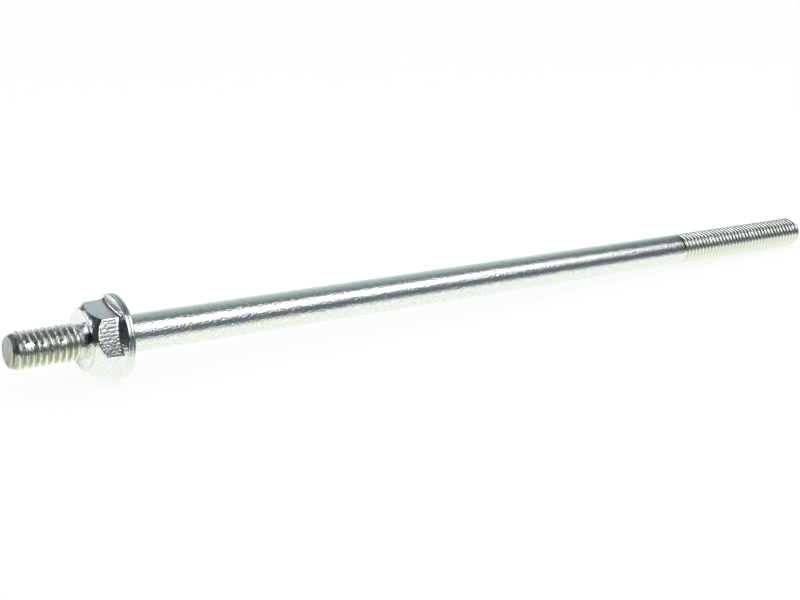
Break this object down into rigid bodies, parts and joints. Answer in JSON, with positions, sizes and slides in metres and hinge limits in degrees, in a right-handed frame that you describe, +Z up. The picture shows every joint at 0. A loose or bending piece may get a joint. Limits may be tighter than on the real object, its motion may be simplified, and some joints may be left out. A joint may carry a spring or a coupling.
{
  "type": "starter motor screw",
  "caption": "Long zinc-plated through screw with a flanged hexagon head, a threaded stud standing on the head and a threaded far end; it clamps a motor housing and carries a nut on its stud.",
  "frame": {"origin": "on the surface the screw lies on, under the middle of its bounding box", "axes": "+Z up from that surface; +X along the screw towards its threaded tip; the screw's own axis runs down towards the tip by 1.326 degrees, because it rests on its flange rim and its tip"},
  "size_m": [0.1742, 0.013, 0.013],
  "materials": {
    "zinc_plated_steel": "bright zinc plating with a faint yellow-green passivation, lightly frosted"
  },
  "bodies": {
    "root": {"starter_screw": "zinc_plated_steel"}
  },
  "joints": []
}
